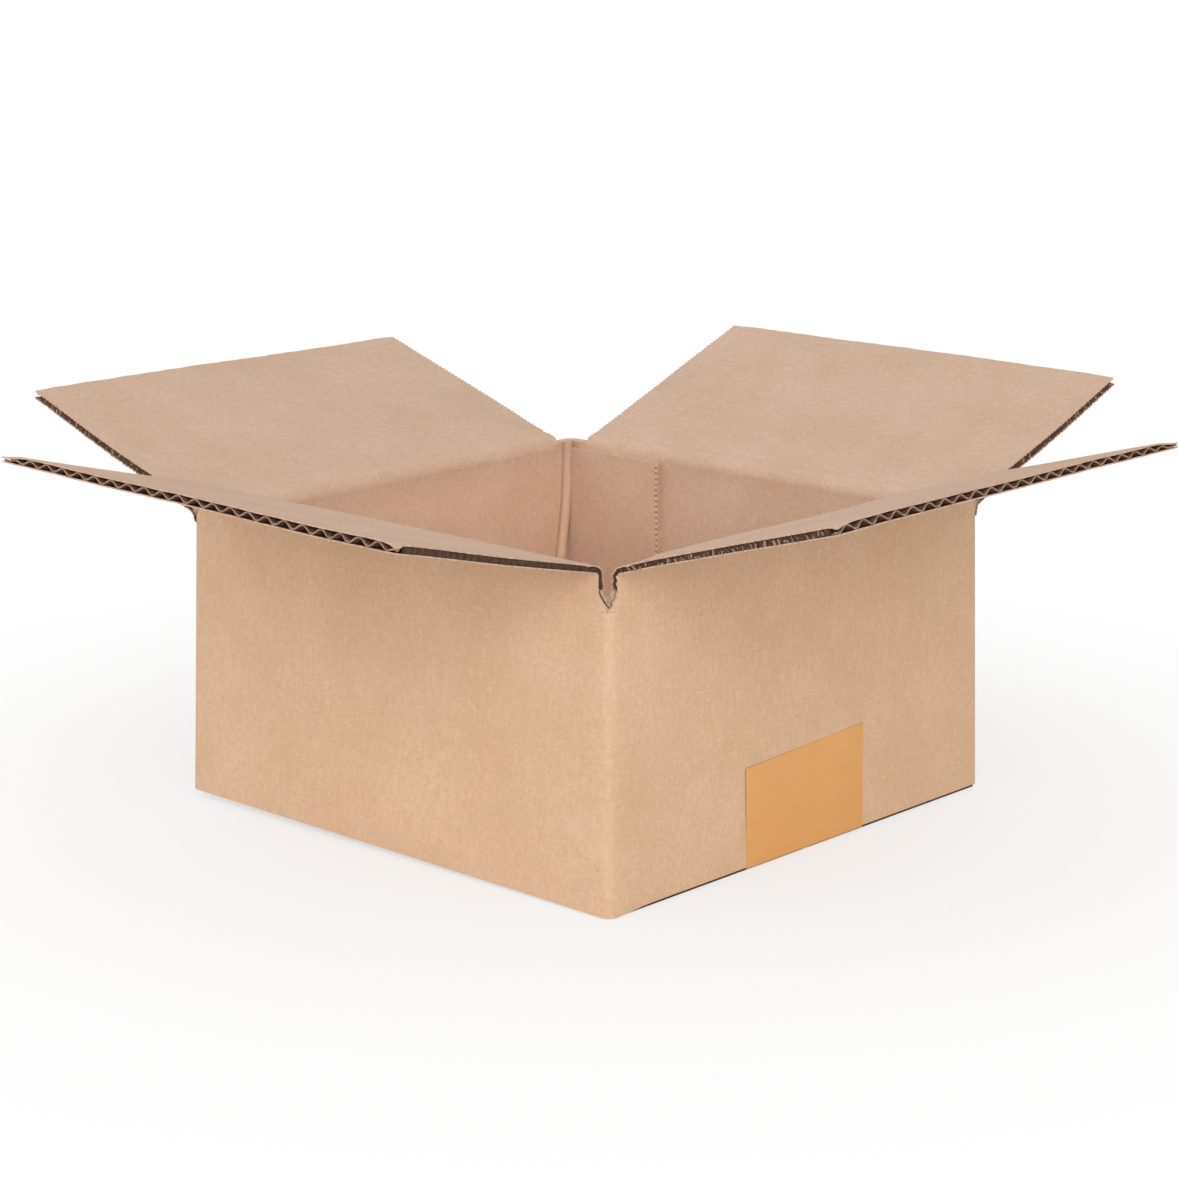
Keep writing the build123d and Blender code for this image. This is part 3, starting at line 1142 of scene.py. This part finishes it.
def photo_camera():
    """A camera where the photograph was taken from."""
    data = bpy.data.cameras.new("camera")
    data.sensor_width = SENSOR
    data.lens = FOCAL_PIXELS / PHOTO_PIXELS * SENSOR
    data.clip_start = 0.01
    camera = bpy.data.objects.new("camera", data)
    bpy.context.scene.collection.objects.link(camera)
    azimuth, elevation, roll = (math.radians(a) for a in CAMERA_ANGLES)
    back = Vector((
        math.sin(azimuth) * math.cos(elevation),
        -math.cos(azimuth) * math.cos(elevation),
        math.sin(elevation),
    ))
    right = (-back).cross(Vector((0, 0, 1))).normalized()
    up = right.cross(-back)
    side = math.cos(roll) * right + math.sin(roll) * up
    top = -math.sin(roll) * right + math.cos(roll) * up
    spot = Vector(CAMERA_TARGET) + side * CAMERA_SIDE + back * CAMERA_DISTANCE
    camera.matrix_world = Matrix((*zip(side, top, back, spot), (0, 0, 0, 1)))
    return camera


class BOX_OT_stage(bpy.types.Operator):
    """Set the floor, the lights and the camera"""

    bl_idname = "box.stage"
    bl_label = "Stage"

    def execute(self, context):
        scene = context.scene
        bpy.ops.mesh.primitive_grid_add(x_subdivisions=8, y_subdivisions=8, size=6.0)
        floor = context.active_object
        floor.name = "floor"
        floor.data.materials.append(pale_floor())

        scene.world = studio_world()
        area_light("key", (1.35, -1.25, 1.0), (1.3, 1.2), 18.2, (1.0, 0.985, 0.965))
        area_light("side", (-1.2, -1.0, 0.8), (1.2, 1.0), 4.5)
        scene.camera = photo_camera()
        scene.view_settings.view_transform = "Standard"
        return {"FINISHED"}


class BOX_PT_panel(bpy.types.Panel):
    """Sizes, colours and steps of the box"""

    bl_label = "Shipping Box"
    bl_idname = "BOX_PT_panel"
    bl_space_type = "VIEW_3D"
    bl_region_type = "UI"
    bl_category = "Box"

    def draw(self, context):
        settings = context.scene.box_settings
        for name in settings.__annotations__:
            self.layout.prop(settings, name)
        for step in STEPS:
            self.layout.operator(step.bl_idname)


STEPS = (
    BOX_OT_stage,
    BOX_OT_materials,
    BOX_OT_walls,
    BOX_OT_bottom,
    BOX_OT_glue_tab,
    BOX_OT_corner_bead,
    BOX_OT_top_flaps,
    BOX_OT_tape,
)


def register():
    bpy.utils.register_class(BoxSettings)
    for step in STEPS:
        bpy.utils.register_class(step)
    bpy.utils.register_class(BOX_PT_panel)
    bpy.types.Scene.box_settings = bpy.props.PointerProperty(type=BoxSettings)


def unregister():
    del bpy.types.Scene.box_settings
    bpy.utils.unregister_class(BOX_PT_panel)
    for step in reversed(STEPS):
        bpy.utils.unregister_class(step)
    bpy.utils.unregister_class(BoxSettings)


def main():
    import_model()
    register()
    bpy.ops.box.stage()
    bpy.ops.box.materials()
    bpy.ops.box.walls()
    bpy.ops.box.bottom()
    bpy.ops.box.glue_tab()
    bpy.ops.box.corner_bead()
    bpy.ops.box.top_flaps()
    bpy.ops.box.tape()


if __name__ == "__main__":
    main()
